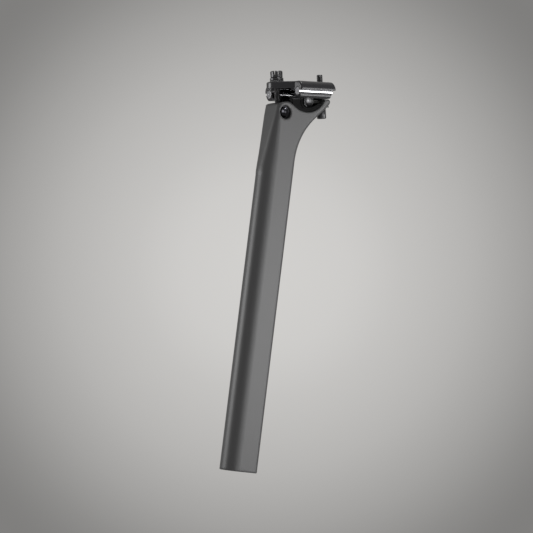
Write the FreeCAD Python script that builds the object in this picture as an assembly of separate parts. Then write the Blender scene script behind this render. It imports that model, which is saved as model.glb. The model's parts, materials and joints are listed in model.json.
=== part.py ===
import FreeCAD, Part
import math
import os

from FreeCAD import Vector

# Bicycle seatpost with a two-bolt head, in millimetres.
# The origin is the centre of the post's bottom end. +Z runs up along the post,
# +X points rearwards, the way the head is set back, and +Y to the rider's right.

# Post: a hollow tube with a round nose in front and a flat back
post_chord = 32.0
post_thickness = 24.0
nose_x = -16.0
nose_corner = 11.6
back_corner = 4.0
post_wall = 2.2
bore_taper = 14.0
bore_roof_inset = 7.0
bore_roof_side_inset = 6.0
bore_roof_corner = 3.0
bore_roof_back_corner = 1.2
mouth_chamfer = 0.5

# Where the saddle's rails lie above the post's bottom end and behind its middle
rail_height = 350.0
setback = 19.0

# Head: the tube sweeps rearwards into a tongue
head_height = 84.0
head_above_rails = 2.0
straight_top = rail_height + head_above_rails - head_height
sweep_start = straight_top + 17.0
bore_top = sweep_start - 5.0
sweep_radius = 63.0
sweep_angle = 42.0
head_front_retreat = 7.2
head_front_start = 0.1
head_corner = 4.6

# Clamp frame: its origin lies midway between the rails, u rearwards along them, w up
rail_centre = Vector(setback, 0, rail_height)
rail_tilt = 9.27
rail_radius = 3.5
rail_spacing = 44.0
rail_front = -19.1
rail_back = 19.2
rail_end_chamfer = 0.4
centre_mark = 0.7
rail_seat_fit = 0.03

# Trough in the head, and the cradle that turns in it
trough_u = 0.0
trough_w = 6.0
trough_radius = 23.8
turn_gap = 0.3
tongue_end_u = 26.4
tongue_top_w = -5.3
tip_radius = 3.1
tip_slope = 38.5
tip_w = -8.4
lip_u = -17.6
lip_w = -9.9

# Front bolt, held by a round barrel across the head
barrel_u = -24.5
barrel_w = -18.8
barrel_radius = 6.0
barrel_fit = 0.06
barrel_recess = 3.0
hole_chamfer = 0.6
dish_radius = 5.3
dish_depth = 1.9
front_lean = 2.5
front_arm_w = 29.3
bolt_radius = 2.85
thread_fit = 0.05
plain_hole_fit = 0.1
shank_room = 0.45
bolt_swing = 0.9
stud_below_barrel = 8.0
stud_below_slots = 0.1

# Front arm of the upper clamp and what stands on it
arm_bottom = 3.0
arm_half_width = 9.4
arm_root_u = -11.0
flare_u = -16.7
flare_half_width = 20.5
half_round_radius = 5.0
half_round_gap = 0.5
half_round_flat = 0.3
pocket_end_room = 0.4
arm_slot_swing = 2.7
half_round_top = 10.8
half_round_length = 7.6
washer_radius = 6.2
washer_top = 13.1
nut_radius = 5.6
nut_top = 19.4
nut_slot_depth = 3.4
nut_slot_width = 1.7
nut_slots = 8
nut_turn = 77.4

# Rear bolt, from under the tongue up into a nut on the upper clamp
rear_seat_u = 25.1
rear_seat_w = -16.5
rear_lean = 2.81
seat_radius = 7.0
seat_half_width = 6.3
moon_end_gap = 0.3
moon_bottom = 4.1
moon_half_u = 4.5
rear_washer_thick = 1.2
rear_washer_radius = 4.5
rear_head_radius = 4.3
rear_head_height = 8.9
rear_bolt_top = 34.8
socket_flats = 5.0
socket_depth = 4.5
nut_centre_up = 25.53
rear_nut_radius = 5.4
rear_nut_gap = 0.4
rear_nut_rise = 2.0
rear_nut_length = 14.0
rear_slot_length = 9.6
fork_gap = 0.5
fork_swing = 0.6

# Upper clamp and lower cradle
jaw_outside = 4.0
ear_half_width = rail_spacing / 2 + jaw_outside
hood_overhang = 2.5
hood_half_width = ear_half_width + hood_overhang
hood_arch_width = 5.5
hood_arch_fullness = 0.72
upper_lip = 1.2
upper_crown = 9.2
upper_front = -18.9
upper_back_top = 18.7
upper_back_lip = 20.0
lower_lip = -1.2
plate_bottom = -6.0
plate_front = -19.3
plate_back = 17.2
inner_ear = rail_spacing / 2 - 8.0
cradle_half_width = 11.8
cradle_front = -16.6
cradle_back = 16.2
rim_thickness = 4.2
window_front = -5.5
window_corner_share = 0.77
window_tail_w = -9.2
window_tail_u = 12.0
lip_width = 2.0
lip_rise = 0.7
web_half = 2.5
throat_half = 8.9
throat_back = -2.3
throat_front = -14.0
throat_floor = -8.8
throat_wall = 2.5
shelf_half = 17.6
shelf_back = 1.5
shelf_top = -4.3
pin_u = 4.2
pin_w = -7.9
pin_radius = 5.5
pin_half_length = 8.6
pin_dish_radius = 4.9
pin_dish_depth = 1.6
press_fit = 0.02
pin_end_room = 0.3
rear_arm_root = 14.0
rear_arm_end = 29.6
rear_arm_corner = 3.5
rear_arm_half_width = 8.6
rear_arm_bottom = -0.5
rear_arm_top = 8.6


def to_clamp(shape):
    """Moves a shape drawn in the clamp frame to its place on the post."""
    turn = FreeCAD.Rotation(Vector(0, 1, 0), -rail_tilt)
    shape.Placement = FreeCAD.Placement(rail_centre, turn).multiply(shape.Placement)
    return shape


def along_bolt(shape, u, w, lean):
    """Stands a shape drawn about +Z on a bolt's axis, which leans forward by lean degrees."""
    turn = FreeCAD.Rotation(Vector(0, 1, 0), -lean)
    shape.Placement = FreeCAD.Placement(Vector(u, 0, w), turn).multiply(shape.Placement)
    return to_clamp(shape)


def disc(radius, bottom, top, x=0.0, y=0.0):
    """An upright cylinder between two heights."""
    return Part.makeCylinder(radius, top - bottom, Vector(x, y, bottom))


def cross_rod(radius, half_length, x, z):
    """A cylinder along Y, centred on the middle plane."""
    return Part.makeCylinder(radius, 2 * half_length, Vector(x, -half_length, z), Vector(0, 1, 0))


def block(x0, x1, half_y, z0, z1):
    """A box that is centred on the middle plane."""
    return Part.makeBox(x1 - x0, 2 * half_y, z1 - z0, Vector(x0, -half_y, z0))


def slot_block(width, length, bottom, top):
    """An upright slot with round ends, long in X."""
    reach = (length - width) / 2
    middle = block(-reach, reach, width / 2, bottom, top)
    ends = [disc(width / 2, bottom, top, x) for x in (-reach, reach)]
    return middle.fuse(ends).removeSplitter()


def prism(points, half_width):
    """A solid from an outline in the X-Z plane, centred on the middle plane."""
    corners = [Vector(x, -half_width, z) for x, z in points]
    face = Part.Face(Part.makePolygon(corners + corners[:1]))
    return face.extrude(Vector(0, 2 * half_width, 0))


def post_section(z, front_x, back_x, front_radius, rear_radius, half):
    """The post's outline at one height: eight edges, the same order at every height."""
    f = front_radius
    b = rear_radius
    diagonal = 1 - math.sqrt(0.5)

    def at(x, y):
        return Vector(x, y, z)

    edges = [
        Part.makeLine(at(front_x, f - half), at(front_x, half - f)),
        Part.Arc(
            at(front_x, half - f),
            at(front_x + diagonal * f, half - diagonal * f),
            at(front_x + f, half),
        ).toShape(),
        Part.makeLine(at(front_x + f, half), at(back_x - b, half)),
        Part.Arc(
            at(back_x - b, half),
            at(back_x - diagonal * b, half - diagonal * b),
            at(back_x, half - b),
        ).toShape(),
        Part.makeLine(at(back_x, half - b), at(back_x, b - half)),
        Part.Arc(
            at(back_x, b - half),
            at(back_x - diagonal * b, diagonal * b - half),
            at(back_x - b, -half),
        ).toShape(),
        Part.makeLine(at(back_x - b, -half), at(front_x + f, -half)),
        Part.Arc(
            at(front_x + f, -half),
            at(front_x + diagonal * f, diagonal * f - half),
            at(front_x, f - half),
        ).toShape(),
    ]
    return Part.Wire(edges)


def back_of_head(z):
    """Where the rear face lies at a height: an arc that runs out into a straight slope."""
    back_x = nose_x + post_chord
    if z <= sweep_start:
        return back_x
    angle = math.radians(sweep_angle)
    arc_top = sweep_start + sweep_radius * math.sin(angle)
    if z <= arc_top:
        rise = (z - sweep_start) / sweep_radius
        return back_x + sweep_radius * (1 - math.cos(math.asin(rise)))
    arc_back = back_x + sweep_radius * (1 - math.cos(angle))
    return arc_back + (z - arc_top) * math.tan(angle)


def smooth(share):
    """Eases from 0 to 1 with no kink at either end."""
    held = min(1.0, max(0.0, share))
    return held * held * (3 - 2 * held)


def head_blank():
    """The head before its top is cut: the nose squares off as the back sweeps rearwards."""
    wires = []
    steps = 9
    for i in range(steps + 1):
        share = i / steps
        z = straight_top + share * head_height
        retreat = max(0.0, share - head_front_start) / (1 - head_front_start)
        front_x = nose_x + head_front_retreat * retreat
        corner = nose_corner + (head_corner - nose_corner) * min(1.0, 1.25 * smooth(share))
        wires.append(
            post_section(z, front_x, back_of_head(z), corner, back_corner, post_thickness / 2)
        )
    return Part.makeLoft(wires, True, False)


def post_tube():
    """The straight part of the post with its bore."""
    half = post_thickness / 2
    back_x = nose_x + post_chord
    outer = Part.Face(post_section(0, nose_x, back_x, nose_corner, back_corner, half))
    solid = outer.extrude(Vector(0, 0, straight_top))
    mouth = [edge for edge in solid.Edges if edge.BoundBox.ZMax < 0.01]
    solid = solid.makeChamfer(mouth_chamfer, mouth)
    return solid.fuse(head_blank()).removeSplitter()


def post_bore():
    """The hollow inside: straight, then closing in below the head's solid part."""
    half = post_thickness / 2 - post_wall
    front_x = nose_x + post_wall
    back_x = nose_x + post_chord - post_wall
    corner = nose_corner - post_wall
    base = post_section(-1, front_x, back_x, corner, back_corner - post_wall, half)
    straight = Part.Face(base).extrude(Vector(0, 0, bore_top + 1))
    low = post_section(bore_top, front_x, back_x, corner, back_corner - post_wall, half)
    high = post_section(
        bore_top + bore_taper,
        front_x + bore_roof_inset,
        back_x - bore_roof_inset,
        bore_roof_corner,
        bore_roof_back_corner,
        half - bore_roof_side_inset,
    )
    roof = Part.makeLoft([low, high], True, True)
    return straight.fuse(roof)


def trough_cutter():
    """The round trough, open upwards, and all that lies above and behind the tongue."""
    far = 60
    trough = cross_rod(trough_radius, far, trough_u, trough_w)
    above = block(lip_u, far, far, lip_w, far)
    tongue = block(trough_u, far, far + 1, -far, tongue_top_w)
    tip_u = tongue_end_u - tip_radius
    beyond = block(0, far, far, -far, far)
    turn = FreeCAD.Rotation(Vector(0, 1, 0), -tip_slope)
    beyond.Placement = FreeCAD.Placement(Vector(tip_u, 0, tip_w), turn)
    beyond = beyond.cut(cross_rod(tip_radius, far + 1, tip_u, tip_w))
    return to_clamp(trough.fuse(above.cut(tongue)).fuse(beyond))


def head_top_cutter():
    """All that lies over the head's front: a rounded hump that falls towards the nose."""
    down = barrel_u * math.sin(math.radians(rail_tilt)) + barrel_w * math.cos(math.radians(rail_tilt))
    along = barrel_u * math.cos(math.radians(rail_tilt)) - barrel_w * math.sin(math.radians(rail_tilt))
    hole_x = setback + along
    hole_z = rail_height + down
    far = 60
    ridge = [
        (-14.0, 4.0),
        (-10.9, 4.9),
        (-8.0, 6.3),
        (-5.2, 7.9),
        (-2.2, 9.3),
        (1.2, 10.0),
        (3.8, 9.7),
        (5.8, 8.6),
    ]
    points = [Vector(hole_x + x, -far, hole_z + z) for x, z in ridge]
    curve = Part.BSplineCurve()
    curve.interpolate(points)
    high = hole_z + far
    corners = [
        points[-1],
        Vector(points[-1].x + 5, -far, points[-1].z + 4),
        Vector(points[-1].x + 5, -far, high),
        Vector(points[0].x - far, -far, high),
        Vector(points[0].x - far, -far, points[0].z - 14),
        points[0],
    ]
    edges = [curve.toShape()]
    edges += [Part.makeLine(start, end) for start, end in zip(corners, corners[1:])]
    face = Part.Face(Part.Wire(edges))
    return face.extrude(Vector(0, 2 * far, 0))


def barrel_hole():
    """The hole across the head for the barrel nut, its rims eased."""
    radius = barrel_radius + barrel_fit
    hole = cross_rod(radius, 30, barrel_u, barrel_w)
    for side in (-1, 1):
        rim = Part.makeCone(
            radius,
            radius + 2 * hole_chamfer,
            2 * hole_chamfer,
            Vector(barrel_u, side * (post_thickness / 2 - hole_chamfer), barrel_w),
            Vector(0, side, 0),
        )
        hole = hole.fuse(rim)
    return to_clamp(hole)


def front_bolt_passage():
    """The slot in which the front bolt stands and swings, down past its barrel."""
    width = 2 * (bolt_radius + shank_room)
    room = slot_block(width, width + bolt_swing, -15.0, 30)
    return along_bolt(room, barrel_u, barrel_w, front_lean)


def rear_seat_cutter():
    """The curved seat under the tongue and the open slot between its prongs."""
    seat = cross_rod(seat_radius, seat_half_width, rear_seat_u, rear_seat_w)
    below = block(rear_seat_u - seat_radius, 60, seat_half_width, -40, rear_seat_w)
    half_slot = bolt_radius + fork_gap
    slot = block(rear_seat_u - half_slot - fork_swing, 60, half_slot, -40, 10)
    return to_clamp(seat.fuse(below).fuse(slot))


def build_post():
    """One moulded piece: the tube, the swept head, the trough and the forked tongue."""
    solid = post_tube()
    solid = solid.cut(post_bore())
    solid = solid.cut(head_top_cutter())
    solid = solid.cut(trough_cutter())
    solid = solid.cut(barrel_hole())
    solid = solid.cut(front_bolt_passage())
    solid = solid.cut(rear_seat_cutter())
    return solid.removeSplitter()


def dished_barrel(radius, half_length, x, z, hollow_radius, hollow_depth):
    """A cylinder along Y whose two ends are hollowed like a shallow bowl."""
    barrel = cross_rod(radius, half_length, x, z)
    barrel = barrel.makeChamfer(0.4, [edge for edge in barrel.Edges if edge.Closed])
    ball = (hollow_radius ** 2 + hollow_depth ** 2) / (2 * hollow_depth)
    for side in (-1, 1):
        centre = Vector(x, side * (half_length - hollow_depth + ball), z)
        barrel = barrel.cut(Part.makeSphere(ball, centre))
    return barrel


def build_barrel_nut():
    """The round nut across the head, dished at both ends, threaded through its middle."""
    half = post_thickness / 2 - barrel_recess
    barrel = to_clamp(
        dished_barrel(barrel_radius, half, barrel_u, barrel_w, dish_radius, dish_depth)
    )
    thread = along_bolt(disc(bolt_radius + thread_fit, -10, 10), barrel_u, barrel_w, front_lean)
    return barrel.cut(thread)


def front_piece(shape):
    """Stands a shape on the front bolt's axis, measured up from the barrel's centre."""
    return along_bolt(shape, barrel_u, barrel_w, front_lean)


def above_barrel(w):
    """How far a height in the clamp frame lies above the barrel, along the front bolt."""
    return (w - barrel_w) / math.cos(math.radians(front_lean))


def build_front_bolt():
    """A threaded stud with chamfered ends."""
    top = above_barrel(nut_top) - nut_slot_depth - stud_below_slots
    stud = disc(bolt_radius, -stud_below_barrel, top)
    return front_piece(stud.makeChamfer(0.6, [edge for edge in stud.Edges if edge.Closed]))


def build_half_round():
    """The half-round seat that lets the arm tip under the nut."""
    centre = above_barrel(half_round_top) - half_round_flat
    round_part = cross_rod(half_round_radius, half_round_length / 2, 0, centre)
    flat = block(-8, 8, 8, centre + half_round_flat, centre + 9)
    hole = disc(bolt_radius + plain_hole_fit, 10, 50)
    return front_piece(round_part.cut(flat).cut(hole))


def build_front_washer():
    """A plain washer between the half-round seat and the adjuster nut."""
    ring = disc(washer_radius, above_barrel(half_round_top), above_barrel(washer_top))
    ring = ring.makeChamfer(0.35, [edge for edge in ring.Edges if edge.Closed])
    return front_piece(ring.cut(disc(bolt_radius + plain_hole_fit, 10, 50)))


def build_adjuster_nut():
    """A round nut whose rim is cut by finger slots, turned by hand or with a pin."""
    bottom = above_barrel(washer_top)
    top = above_barrel(nut_top)
    nut = disc(nut_radius, bottom, top)
    nut = nut.makeChamfer(0.7, [edge for edge in nut.Edges if edge.Closed])
    for i in range(nut_slots):
        cutter = Part.makeBox(
            nut_radius, nut_slot_width, 10, Vector(1, -nut_slot_width / 2, top - nut_slot_depth)
        )
        cutter.rotate(Vector(0, 0, 0), Vector(0, 0, 1), nut_turn + 360.0 * i / nut_slots)
        nut = nut.cut(cutter)
    nut = nut.cut(disc(bolt_radius + thread_fit, bottom - 1, top + 1))
    return front_piece(nut)


def rear_piece(shape):
    """Stands a shape on the rear bolt's axis, measured up from the seat's centre."""
    return along_bolt(shape, rear_seat_u, rear_seat_w, rear_lean)


def build_rear_bolt():
    """A socket-head bolt that hangs below the tongue with its thread upwards."""
    under_head = moon_bottom - rear_washer_thick
    head = disc(rear_head_radius, under_head - rear_head_height, under_head)
    head = head.makeChamfer(0.5, [edge for edge in head.Edges if edge.Closed])
    key = socket_key(under_head - rear_head_height)
    shank = disc(bolt_radius, under_head - 1, rear_bolt_top)
    tip = [edge for edge in shank.Edges if edge.Closed and edge.Curve.Center.z > 0]
    shank = shank.makeChamfer(0.7, tip[:1])
    return rear_piece(head.cut(key).fuse(shank).removeSplitter())


def socket_key(bottom):
    """The six-sided socket in the bolt's head."""
    corner = socket_flats / 2 / math.cos(math.radians(30))
    points = [
        Vector(
            corner * math.cos(math.radians(60 * i)),
            corner * math.sin(math.radians(60 * i)),
            bottom - 1,
        )
        for i in range(6)
    ]
    face = Part.Face(Part.makePolygon(points + points[:1]))
    return face.extrude(Vector(0, 0, socket_depth + 1))


def build_rear_washer():
    """A plain washer over the rear bolt's head."""
    ring = disc(rear_washer_radius, moon_bottom - rear_washer_thick, moon_bottom)
    return rear_piece(ring.cut(disc(bolt_radius + plain_hole_fit, 0, 10)))


def build_moon_washer():
    """The half-moon washer: flat below, round above, in the tongue's curved seat."""
    round_part = cross_rod(seat_radius - turn_gap, seat_half_width - moon_end_gap, 0, 0)
    wanted = block(-moon_half_u, moon_half_u, 10, moon_bottom, 20)
    hole = disc(bolt_radius + plain_hole_fit, 0, 20)
    return rear_piece(round_part.common(wanted).cut(hole))


def build_rear_nut():
    """A cross nut with a round belly and a flat top, threaded for the rear bolt."""
    belly = cross_rod(rear_nut_radius, rear_nut_length / 2, 0, nut_centre_up)
    flat = block(-8, 8, 10, nut_centre_up + rear_nut_rise, nut_centre_up + 9)
    thread = disc(bolt_radius + thread_fit, 10, 50)
    return rear_piece(belly.cut(flat).cut(thread))


def build_rail(side):
    """A plain round rod in the jaws, with a centre mark in each end."""
    y = side * rail_spacing / 2
    length = rail_back - rail_front
    rod = Part.makeCylinder(rail_radius, length, Vector(rail_front, y, 0), Vector(1, 0, 0))
    rod = rod.makeChamfer(rail_end_chamfer, [edge for edge in rod.Edges if edge.Closed])
    for u, inward in ((rail_front, 1), (rail_back, -1)):
        mark = Part.makeCone(centre_mark, 0, centre_mark, Vector(u, y, 0), Vector(inward, 0, 0))
        rod = rod.cut(mark)
    return to_clamp(rod)


def upper_outline(u):
    """The upper clamp's cross-section: two arched jaws joined by a thinner bridge."""
    def at(y, w):
        return Vector(u, y, w)

    edges = []
    edge_y = hood_half_width
    crown_y = edge_y - hood_arch_width
    mid_y = crown_y + hood_arch_fullness * hood_arch_width
    mid_w = upper_lip + hood_arch_fullness * (upper_crown - upper_lip)
    edges.append(
        Part.Arc(at(-edge_y, upper_lip), at(-mid_y, mid_w), at(-crown_y, upper_crown)).toShape()
    )
    edges.append(Part.makeLine(at(-crown_y, upper_crown), at(crown_y, upper_crown)))
    edges.append(
        Part.Arc(at(crown_y, upper_crown), at(mid_y, mid_w), at(edge_y, upper_lip)).toShape()
    )
    bottom = [
        (edge_y, upper_lip),
        (inner_ear, upper_lip),
        (inner_ear - 2.0, arm_bottom),
        (2.0 - inner_ear, arm_bottom),
        (-inner_ear, upper_lip),
        (-edge_y, upper_lip),
    ]
    for (y0, w0), (y1, w1) in zip(bottom, bottom[1:]):
        edges.append(Part.makeLine(at(y0, w0), at(y1, w1)))
    return Part.Face(Part.Wire(edges))


def rail_grooves():
    """Two rods' worth of room, a hair larger than the rails."""
    grooves = []
    for side in (-1, 1):
        y = side * rail_spacing / 2
        start = Vector(-40, y, 0)
        grooves.append(Part.makeCylinder(rail_radius + rail_seat_fit, 80, start, Vector(1, 0, 0)))
    return grooves[0].fuse(grooves[1])


def front_arm():
    """The arm that reaches forward over the front bolt: round at its end, flared at its root."""
    end_u = barrel_u - front_arm_w * math.sin(math.radians(front_lean))
    run = flare_u - end_u
    toward = math.atan2(flare_half_width, run)
    opening = math.acos(arm_half_width / math.hypot(run, flare_half_width))
    touch_u = end_u + arm_half_width * math.cos(toward + opening)
    touch_y = arm_half_width * math.sin(toward + opening)
    half_outline = [(touch_u, touch_y), (flare_u, flare_half_width), (arm_root_u, flare_half_width)]
    outline = half_outline + [(u, -y) for u, y in reversed(half_outline)]
    corners = [Vector(u, y, arm_bottom) for u, y in outline]
    wedge = Part.Face(Part.makePolygon(corners + corners[:1]))
    wedge = wedge.extrude(Vector(0, 0, upper_crown - arm_bottom))
    arm = disc(arm_half_width, arm_bottom, upper_crown, end_u).fuse(wedge).removeSplitter()
    rim = [
        edge
        for edge in arm.Edges
        if abs(edge.BoundBox.ZMin - upper_crown) < 0.01 and edge.BoundBox.XMin < flare_u - 1
    ]
    return arm.makeChamfer(0.9, rim)


def rear_arm():
    """The short arm behind the jaws that carries the rear nut."""
    arm = block(rear_arm_root, rear_arm_end, rear_arm_half_width, rear_arm_bottom, rear_arm_top)
    corners = [edge for edge in arm.Edges if upright(edge) and edge.BoundBox.XMin > rear_arm_end - 1]
    return arm.makeFillet(rear_arm_corner, corners)


def upright(edge):
    """True for a straight edge along Z."""
    box = edge.BoundBox
    return box.XLength < 0.01 and box.YLength < 0.01


def nut_pockets():
    """Room for both bolts, the half-round seat and the rear nut in the upper clamp."""
    centre = above_barrel(half_round_top) - half_round_flat
    reach = half_round_length / 2 + pocket_end_room
    pocket = cross_rod(half_round_radius + half_round_gap, reach, 0, centre)
    wide = half_round_radius + half_round_gap
    open_top = block(-wide, wide, reach, centre, centre + 10)
    width = 2 * (bolt_radius + shank_room)
    slot = slot_block(width, width + arm_slot_swing, 10, 50)
    front = front_piece_local(pocket.fuse(open_top).fuse(slot))
    room = rear_nut_radius + rear_nut_gap
    reach = rear_nut_length / 2 + pocket_end_room
    pocket = cross_rod(room, reach, 0, nut_centre_up)
    open_top = block(-room, room, reach, nut_centre_up, nut_centre_up + 10)
    slot = slot_block(width, rear_slot_length, 10, 50)
    rear = pocket.fuse(open_top).fuse(slot)
    turn = FreeCAD.Rotation(Vector(0, 1, 0), -rear_lean)
    rear.Placement = FreeCAD.Placement(Vector(rear_seat_u, 0, rear_seat_w), turn)
    return front.fuse(rear)


def front_piece_local(shape):
    """Stands a shape on the front bolt's axis, still in the clamp frame."""
    turn = FreeCAD.Rotation(Vector(0, 1, 0), -front_lean)
    shape.Placement = FreeCAD.Placement(Vector(barrel_u, 0, barrel_w), turn)
    return shape


def build_upper_clamp():
    """Jaws over both rails, an arm to the front bolt and one to the rear nut."""
    jaws = upper_outline(upper_front).extrude(Vector(upper_back_lip - upper_front, 0, 0))
    slope = [
        (upper_back_lip, upper_lip - 1),
        (upper_back_lip, upper_lip + 1),
        (upper_back_top, upper_crown + 1),
        (upper_back_lip + 5, upper_crown + 1),
        (upper_back_lip + 5, upper_lip - 1),
    ]
    jaws = jaws.cut(prism(slope, 40))
    front_edges = [
        edge
        for edge in jaws.Edges
        if edge.BoundBox.XMax < upper_front + 0.01 and edge.BoundBox.ZMax > upper_crown - 0.1
    ]
    jaws = jaws.makeChamfer(1.0, front_edges)
    clamp = jaws.fuse(front_arm()).fuse(rear_arm())
    clamp = clamp.cut(rail_grooves()).cut(nut_pockets())
    return to_clamp(clamp.removeSplitter())


def lower_plate():
    """The plate under the rails, with rounded lower edges along both sides."""
    plate = block(plate_front, plate_back, ear_half_width, plate_bottom, lower_lip)
    sides = [
        edge
        for edge in plate.Edges
        if edge.BoundBox.XLength > 10 and edge.BoundBox.ZMax < plate_bottom + 0.1
    ]
    plate = plate.makeFillet(2.4, sides)
    ends = [
        (plate_front - 1, plate_bottom - 1),
        (plate_front - 1, lower_lip + 1),
        (plate_front, lower_lip),
        (plate_front + 2.1, plate_bottom),
        (plate_front + 2.1, plate_bottom - 1),
    ]
    plate = plate.cut(prism(ends, 40))
    ends = [
        (plate_back + 1, plate_bottom - 1),
        (plate_back + 1, lower_lip + 1),
        (plate_back, lower_lip),
        (plate_back - 1.2, plate_bottom),
        (plate_back - 1.2, plate_bottom - 1),
    ]
    return plate.cut(prism(ends, 40))


def throat_cutter():
    """The open throat at the plate's front, and the lower shelf between belly and rods."""
    far = 30
    throat = block(-far, throat_back, throat_half, -far, far)
    shelf = block(-far, shelf_back, shelf_half, shelf_top, far)
    middle = block(-far - 1, shelf_back + 1, throat_half, -far, far + 1)
    return throat.fuse(shelf.cut(middle))


def window_solid(grow):
    """The side window's outline through the belly, grown all round by a given amount."""
    radius = trough_radius - turn_gap - rim_thickness + grow
    front = window_front - grow
    drop = plate_bottom - trough_w + math.sqrt(radius ** 2 - front ** 2)
    window = cross_rod(radius, 20, trough_u, trough_w)
    window = window.common(block(front, 40, 20, -40, plate_bottom))
    corner = [
        edge
        for edge in window.Edges
        if edge.BoundBox.YLength > 30 and abs(edge.BoundBox.XMax - front) < 0.01
        and edge.BoundBox.ZMax < plate_bottom - 1
    ]
    window = window.makeFillet(window_corner_share * drop, corner)
    return window.fuse(block(window_tail_u, 40, 20, window_tail_w - grow, plate_bottom))


def cradle_body():
    """The round belly that turns in the trough, hollowed from both sides to a middle web."""
    belly = cross_rod(trough_radius - turn_gap, cradle_half_width, trough_u, trough_w)
    wanted = block(cradle_front, cradle_back, 20, -40, plate_bottom + 1)
    belly = belly.common(wanted)
    belly = belly.cut(block(-40, throat_front, throat_half, -40, 40))
    throat_end = window_front - throat_wall
    belly = belly.cut(block(throat_front - 1, throat_end, throat_half, throat_floor, 40))
    lip_half_width = cradle_half_width + lip_rise
    rim = cross_rod(trough_radius - turn_gap, lip_half_width, trough_u, trough_w)
    rim = rim.common(block(-40, cradle_back, lip_half_width, -40, plate_bottom))
    rim = rim.common(window_solid(lip_width))
    web = block(-40, window_tail_u + 2, web_half, -40, 40)
    return belly.fuse(rim).cut(window_solid(0).cut(web))


def build_lower_cradle():
    """The lower half of the clamp: plate, rail grooves and belly in one piece."""
    cradle = lower_plate().cut(throat_cutter()).fuse(cradle_body())
    cradle = cradle.cut(rail_grooves())
    cradle = cradle.cut(cross_rod(pin_radius + press_fit, pin_half_length + pin_end_room, pin_u, pin_w))
    return to_clamp(cradle.removeSplitter())


def build_cross_pin():
    """The bright pin across the cradle's web, seen through the side window."""
    return to_clamp(
        dished_barrel(pin_radius, pin_half_length, pin_u, pin_w, pin_dish_radius, pin_dish_depth)
    )


def build_all():
    """Every piece by its node name."""
    return {
        "post_body": build_post(),
        "front_barrel_nut": build_barrel_nut(),
        "front_bolt": build_front_bolt(),
        "front_half_round_seat": build_half_round(),
        "front_washer": build_front_washer(),
        "front_adjuster_nut": build_adjuster_nut(),
        "lower_cradle": build_lower_cradle(),
        "cradle_cross_pin": build_cross_pin(),
        "upper_clamp": build_upper_clamp(),
        "rail_left": build_rail(-1),
        "rail_right": build_rail(1),
        "rear_bolt": build_rear_bolt(),
        "rear_washer": build_rear_washer(),
        "rear_half_moon_washer": build_moon_washer(),
        "rear_nut": build_rear_nut(),
    }


os.makedirs("parts", exist_ok=True)
for name, shape in build_all().items():
    shape.exportStep("parts/" + name + ".step")
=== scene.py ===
"""The looks of a carbon seatpost with a two-bolt saddle clamp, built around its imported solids."""

import json
import math
from collections import namedtuple

import bmesh
import bpy
from mathutils import Matrix, Vector


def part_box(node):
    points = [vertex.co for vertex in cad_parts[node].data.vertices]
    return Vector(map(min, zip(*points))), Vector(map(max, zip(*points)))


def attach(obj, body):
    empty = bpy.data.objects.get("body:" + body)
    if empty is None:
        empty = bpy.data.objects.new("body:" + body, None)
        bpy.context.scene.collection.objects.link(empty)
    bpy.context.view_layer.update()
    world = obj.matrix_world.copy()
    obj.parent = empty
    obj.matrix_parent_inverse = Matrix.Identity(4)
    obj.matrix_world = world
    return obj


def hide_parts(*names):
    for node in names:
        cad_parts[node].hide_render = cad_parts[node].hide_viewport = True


bl_info = {
    "name": "Carbon seatpost",
    "version": (1, 0, 0),
    "blender": (4, 5, 0),
    "location": "3D View > Sidebar > Seatpost",
    "description": "Finishes, bolt threads and studio for a carbon seatpost with a saddle clamp",
    "category": "Object",
}

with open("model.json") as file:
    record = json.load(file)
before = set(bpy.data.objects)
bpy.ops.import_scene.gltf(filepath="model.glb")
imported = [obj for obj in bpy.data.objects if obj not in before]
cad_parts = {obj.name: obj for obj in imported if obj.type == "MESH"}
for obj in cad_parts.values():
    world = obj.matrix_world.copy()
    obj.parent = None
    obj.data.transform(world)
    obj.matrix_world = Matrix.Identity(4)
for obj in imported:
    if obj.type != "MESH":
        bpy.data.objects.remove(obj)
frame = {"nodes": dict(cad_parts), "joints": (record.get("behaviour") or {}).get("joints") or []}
MM = 0.001
JOINTS = {joint["name"]: joint for joint in frame["joints"]}

# The camera, in metres in the part's own frame
CAMERA_PLACE = Vector((-0.93327, -1.32524, 0.0459))
CAMERA_TARGET = Vector((0.00583, 0.00026, 0.1868))
CAMERA_UP = Vector((-0.1483, 0.0, 0.9889))
CAMERA_LENS = 121.04
CAMERA_CLIP = (0.05, 50.0)
SENSOR_WIDTH = 36.0

# Angles in degrees from the middle of the backdrop, and its brightness there
BACKDROP_FADE = (
    (0.0, 1.0),
    (2.6, 0.96),
    (4.2, 0.86),
    (6.5, 0.72),
    (8.3, 0.56),
    (9.8, 0.425),
    (11.7, 0.27),
    (16.0, 0.5),
    (30.0, 0.72),
)

# The lamps: name, direction from what they shine on, distance, width and height
LAMP_AIM = Vector((0.0, 0.0, 0.25))
LAMPS = (
    ("side_lamp", (0.58, -0.814, 0.0), 1.5, 0.8, 0.6),
    ("fill_lamp", (0.035, -1.0, 0.0), 1.5, 0.6, 0.6),
    ("rim_lamp", (-0.84, 0.545, 0.0), 1.5, 0.8, 0.6),
    ("low_lamp", (0.25, -0.8, -0.62), 1.2, 0.3, 0.15),
    ("top_lamp", (0.05, -0.1, 1.0), 1.4, 0.6, 0.6),
)

# The floor fades out between these shares of its radius; its paper is this uneven
FLOOR_FADE = (0.35, 0.98)
FLOOR_SEGMENTS = 96
PAPER_CHANGE = 0.02

# Faces round the rear bolt's head and round a thread
HEAD_COLUMNS = 120
THREAD_COLUMNS = 40

# One turn of thread: share of the pitch, and height between root and crest
THREAD_TURN = ((0.0, 0.0), (0.14, 0.0), (0.5, 1.0), (0.64, 1.0))

# How far the chamfer at a thread's end cuts in, as a share of the thread's depth
THREAD_CHAMFER = 1.15

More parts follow.
